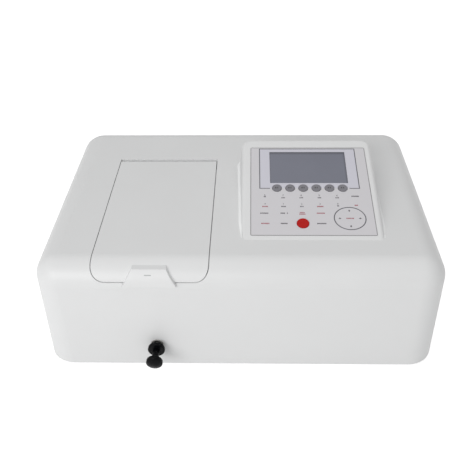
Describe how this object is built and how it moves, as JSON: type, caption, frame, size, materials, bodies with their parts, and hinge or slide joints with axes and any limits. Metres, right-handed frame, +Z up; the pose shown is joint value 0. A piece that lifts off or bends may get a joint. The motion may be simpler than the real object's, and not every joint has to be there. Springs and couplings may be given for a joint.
{
  "type": "spectrophotometer",
  "caption": "Bench-top spectrophotometer with a hinged sample lid, a sliding cell carriage on a pull knob, and a raised console with a screen and round keys.",
  "frame": {"origin": "below the middle of the whole instrument, at the underside of the feet", "axes": "+Z up, -Y towards the user at the front with the pull knob, +X to the user's right"},
  "size_m": [0.47, 0.3586, 0.1933],
  "materials": {
    "cover_plastic": "satin moulded",
    "grey_paint": "satin paint",
    "steel": "plain",
    "foot_rubber": "matt",
    "black_paint": "matt black",
    "clear_glass": "polished",
    "cast_aluminium": "as cast",
    "aluminium_sheet": "plain sheet",
    "mirror_coat": "polished",
    "ceramic": "glazed ceramic",
    "board_green": "solder mask",
    "black_plastic": "moulded",
    "screen_grey": "clear over grey",
    "film_grey": "printed film",
    "brass_pin": "plated",
    "knob_black": "polished",
    "key_red": "moulded",
    "key_grey": "moulded"
  },
  "bodies": {
    "body": {"base_plate": "steel", "rubber_feet": "foot_rubber", "case_screws": "steel", "top_cover": "cover_plastic", "rear_panel": "grey_paint", "sample_tub": "black_paint", "guide_rods": "steel", "rod_bush": "steel", "beam_windows": "clear_glass", "hinge_brackets": "steel", "hinge_pin": "steel", "optical_bench": "cast_aluminium", "monochromator_housing": "black_paint", "monochromator_cover": "black_paint", "slit_plates": "black_paint", "concave_mirrors": "mirror_coat", "mirror_mounts": "cast_aluminium", "linear_actuator": "steel", "filter_motor": "steel", "lamp_house": "aluminium_sheet", "halogen_lamp": "clear_glass", "lamp_socket": "ceramic", "detector_housing": "cast_aluminium", "photodiode": "steel", "detector_board": "board_green", "power_board": "board_green", "transformer": "grey_paint", "main_board": "board_green", "standoffs": "steel", "display_module": "black_plastic", "screen_window": "screen_grey", "keypad_film": "film_grey", "keypad_board": "board_green", "mains_inlet": "black_plastic", "inlet_pins": "brass_pin", "data_sockets": "steel", "switch_body": "black_plastic", "fan_frame": "black_plastic", "fan_guard": "steel", "detent_spring": "steel"},
    "lid": {"lid": "cover_plastic", "lid_seal": "foot_rubber"},
    "carriage": {"cell_carriage": "black_paint", "cell_springs": "steel", "pull_rod": "steel", "pull_knob": "knob_black"},
    "grating_turntable": {"grating_table": "cast_aluminium", "grating": "mirror_coat"},
    "actuator_rod": {"plunger": "steel"},
    "filters": {"filter_wheel": "black_paint"},
    "impeller": {"fan_impeller": "black_plastic"},
    "rocker": {"power_rocker": "black_plastic"},
    "fuse_tray": {"fuse_drawer": "black_plastic"},
    "red_key": {"red_key": "key_red"},
    "soft_key_1": {"soft_key_1": "key_grey"},
    "soft_key_2": {"soft_key_2": "key_grey"},
    "soft_key_3": {"soft_key_3": "key_grey"},
    "soft_key_4": {"soft_key_4": "key_grey"},
    "soft_key_5": {"soft_key_5": "key_grey"},
    "soft_key_6": {"soft_key_6": "key_grey"}
  },
  "joints": [
    {"name": "lid_hinge", "type": "hinge", "parent": "body", "child": "lid", "pos_m": [-0.099, 0.07975, 0.1485], "axis": [-1, 0, 0], "range_deg": [0, 93]},
    {"name": "carriage_slide", "type": "slide", "parent": "body", "child": "carriage", "axis": [0, -1, 0], "range_m": [0, 0.048]},
    {"name": "grating_pivot", "type": "hinge", "parent": "body", "child": "grating_turntable", "pos_m": [0.003, 0.01725, 0.047], "axis": [0, 0, -1], "range_deg": [0, 30]},
    {"name": "plunger_slide", "type": "slide", "parent": "body", "child": "actuator_rod", "axis": [0, -1, 0], "range_m": [0, 0.0255]},
    {"name": "filter_wheel_spin", "type": "hinge", "parent": "body", "child": "filters", "pos_m": [0.008, 0.07475, 0.072], "axis": [0, 1, 0], "continuous": true},
    {"name": "fan_spin", "type": "hinge", "parent": "body", "child": "impeller", "pos_m": [0.028, 0.1626, 0.069], "axis": [0, 1, 0], "continuous": true},
    {"name": "rocker_pivot", "type": "hinge", "parent": "body", "child": "rocker", "pos_m": [0.124, 0.1723, 0.071], "axis": [0, 0, 1], "range_deg": [-20, 0]},
    {"name": "fuse_drawer_slide", "type": "slide", "parent": "body", "child": "fuse_tray", "axis": [0, 1, 0], "range_m": [0, 0.015]},
    {"name": "red_key_press", "type": "slide", "parent": "body", "child": "red_key", "axis": [0, 0.2334, -0.9724], "range_m": [0, 0.0005], "stiffness_N_per_m": 450},
    {"name": "soft_key_1_press", "type": "slide", "parent": "body", "child": "soft_key_1", "axis": [0, 0.2334, -0.9724], "range_m": [0, 0.0005], "stiffness_N_per_m": 450},
    {"name": "soft_key_2_press", "type": "slide", "parent": "body", "child": "soft_key_2", "axis": [0, 0.2334, -0.9724], "range_m": [0, 0.0005], "stiffness_N_per_m": 450},
    {"name": "soft_key_3_press", "type": "slide", "parent": "body", "child": "soft_key_3", "axis": [0, 0.2334, -0.9724], "range_m": [0, 0.0005], "stiffness_N_per_m": 450},
    {"name": "soft_key_4_press", "type": "slide", "parent": "body", "child": "soft_key_4", "axis": [0, 0.2334, -0.9724], "range_m": [0, 0.0005], "stiffness_N_per_m": 450},
    {"name": "soft_key_5_press", "type": "slide", "parent": "body", "child": "soft_key_5", "axis": [0, 0.2334, -0.9724], "range_m": [0, 0.0005], "stiffness_N_per_m": 450},
    {"name": "soft_key_6_press", "type": "slide", "parent": "body", "child": "soft_key_6", "axis": [0, 0.2334, -0.9724], "range_m": [0, 0.0005], "stiffness_N_per_m": 450}
  ],
  "couplings": [
    {"joint": "plunger_slide", "follows": "grating_pivot", "m_per_rad": 0.04775}
  ]
}
